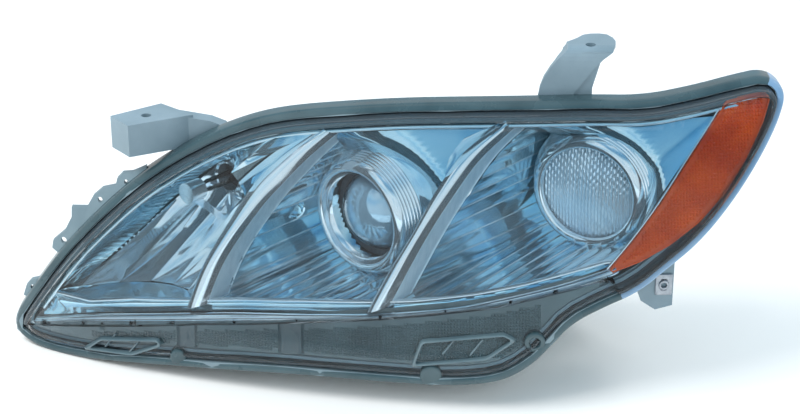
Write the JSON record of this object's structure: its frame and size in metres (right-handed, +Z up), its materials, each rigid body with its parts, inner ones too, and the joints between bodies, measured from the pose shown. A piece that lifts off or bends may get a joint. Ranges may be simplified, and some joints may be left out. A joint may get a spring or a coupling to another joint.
{
  "type": "car headlight assembly",
  "caption": "Left car headlamp: clear wrap-round lens, grey housing with brackets, projector low beam, reflector high beam, turn lamp, amber reflex, aiming screws and twist-in bulbs.",
  "frame": {"origin": "top of the bolt hole in the outer upper bracket, where the lamp is bolted to the car", "axes": "+X outboard (the car's left), -Y towards the nose of the car, +Z up; the optical axes run along -Y"},
  "size_m": [0.4965, 0.4609, 0.2665],
  "materials": {
    "housing_grey": "moulded, lightly grained",
    "clear_lens": "clear, hard coated",
    "sealant": "soft butyl rope",
    "chrome_plate": "vacuum metallised, mirror bright",
    "satin_trim": "satin silver",
    "mirror_coat": "vapour coated reflector",
    "amber": "reflex pattern, transparent amber",
    "dark_trim": "knurled, dark grey green",
    "bracket_grey": "moulded, satin",
    "steel": "zinc plated",
    "cast_metal": "die cast",
    "lens_glass": "clear optical glass",
    "rubber": "moulded rubber",
    "black_plastic": "moulded",
    "seal_ring": "silicone seal",
    "white_nylon": "natural nylon"
  },
  "bodies": {
    "lamp": {"housing": "housing_grey", "outer_lens": "clear_lens", "lens_sealant": "sealant", "bezel": "chrome_plate", "blade_inner": "satin_trim", "blade_middle": "satin_trim", "projector_ring": "chrome_plate", "turn_ring": "chrome_plate", "turn_inner_lens": "clear_lens", "turn_reflector": "mirror_coat", "amber_reflex": "amber", "lower_trim": "dark_trim", "inner_bracket": "bracket_grey", "outer_bracket": "bracket_grey", "lower_bracket": "bracket_grey", "lower_bracket_nut": "steel", "bracket_screws": "steel", "bezel_screws": "steel", "vent_caps": "rubber", "low_boot": "rubber", "high_boot": "rubber", "pivot_bracket_low": "housing_grey", "pivot_bracket_high": "housing_grey", "aim_screw_clips": "steel"},
    "low_unit": {"projector_lens": "lens_glass", "lens_holder": "cast_metal", "cutoff_shade": "steel", "projector_reflector": "mirror_coat", "projector_screws": "steel", "low_pivot_pins": "steel"},
    "low_bulb": {"low_bulb_glass": "lens_glass", "low_bulb_base": "black_plastic", "low_bulb_oring": "seal_ring"},
    "low_nut": {"low_aim_nut": "white_nylon"},
    "low_screw": {"low_aim_screw": "steel"},
    "high_unit": {"high_reflector": "mirror_coat", "high_bulb_shield": "cast_metal", "high_pivot_pins": "steel"},
    "high_bulb": {"high_bulb_glass": "lens_glass", "high_bulb_base": "black_plastic", "high_bulb_oring": "seal_ring"},
    "high_nut": {"high_aim_nut": "white_nylon"},
    "high_screw": {"high_aim_screw": "steel"},
    "turn_bulb_unit": {"turn_socket": "black_plastic", "turn_bulb": "amber", "turn_gasket": "seal_ring"},
    "marker_bulb_unit": {"marker_socket": "black_plastic", "marker_bulb": "lens_glass", "marker_gasket": "seal_ring"}
  },
  "joints": [
    {"name": "low_beam_aim", "type": "hinge", "parent": "lamp", "child": "low_unit", "pos_m": [-0.119, -0.082, -0.14], "axis": [1, 0, 0], "range_deg": [-2.5, 2.5]},
    {"name": "high_beam_aim", "type": "hinge", "parent": "lamp", "child": "high_unit", "pos_m": [-0.253, -0.2, -0.18], "axis": [1, 0, 0], "range_deg": [-2.5, 2.5]},
    {"name": "low_nut_travel", "type": "slide", "parent": "lamp", "child": "low_nut", "axis": [0, 1, 0], "range_m": [-0.0027, 0.0027]},
    {"name": "low_aim_turn", "type": "hinge", "parent": "lamp", "child": "low_screw", "pos_m": [-0.119, -0.082, -0.2], "axis": [0, 1, 0], "range_deg": [-780, 780]},
    {"name": "high_nut_travel", "type": "slide", "parent": "lamp", "child": "high_nut", "axis": [0, 1, 0], "range_m": [-0.00351, 0.00351]},
    {"name": "high_aim_turn", "type": "hinge", "parent": "lamp", "child": "high_screw", "pos_m": [-0.199, -0.192, -0.102], "axis": [0, 1, 0], "range_deg": [-1010, 1010]},
    {"name": "low_bulb_twist", "type": "hinge", "parent": "low_unit", "child": "low_bulb", "pos_m": [-0.119, -0.045, -0.14], "axis": [0, 1, 0], "range_deg": [0, 45]},
    {"name": "high_bulb_twist", "type": "hinge", "parent": "high_unit", "child": "high_bulb", "pos_m": [-0.243, -0.163, -0.129], "axis": [0, 1, 0], "range_deg": [0, 45]},
    {"name": "turn_socket_twist", "type": "hinge", "parent": "lamp", "child": "turn_bulb_unit", "pos_m": [-0.00122, 0.06515, -0.118], "axis": [-0.2419, 0.9703, 0], "range_deg": [0, 45]},
    {"name": "marker_socket_twist", "type": "hinge", "parent": "lamp", "child": "marker_bulb_unit", "pos_m": [0.03134, 0.08442, -0.088], "axis": [-0.6691, 0.7431, 0], "range_deg": [0, 45]}
  ],
  "couplings": [
    {"joint": "low_nut_travel", "follows": "low_beam_aim", "m_per_rad": 0.06},
    {"joint": "low_aim_turn", "follows": "low_beam_aim", "ratio": -301.59},
    {"joint": "high_nut_travel", "follows": "high_beam_aim", "m_per_rad": -0.078},
    {"joint": "high_aim_turn", "follows": "high_beam_aim", "ratio": 392.07}
  ]
}
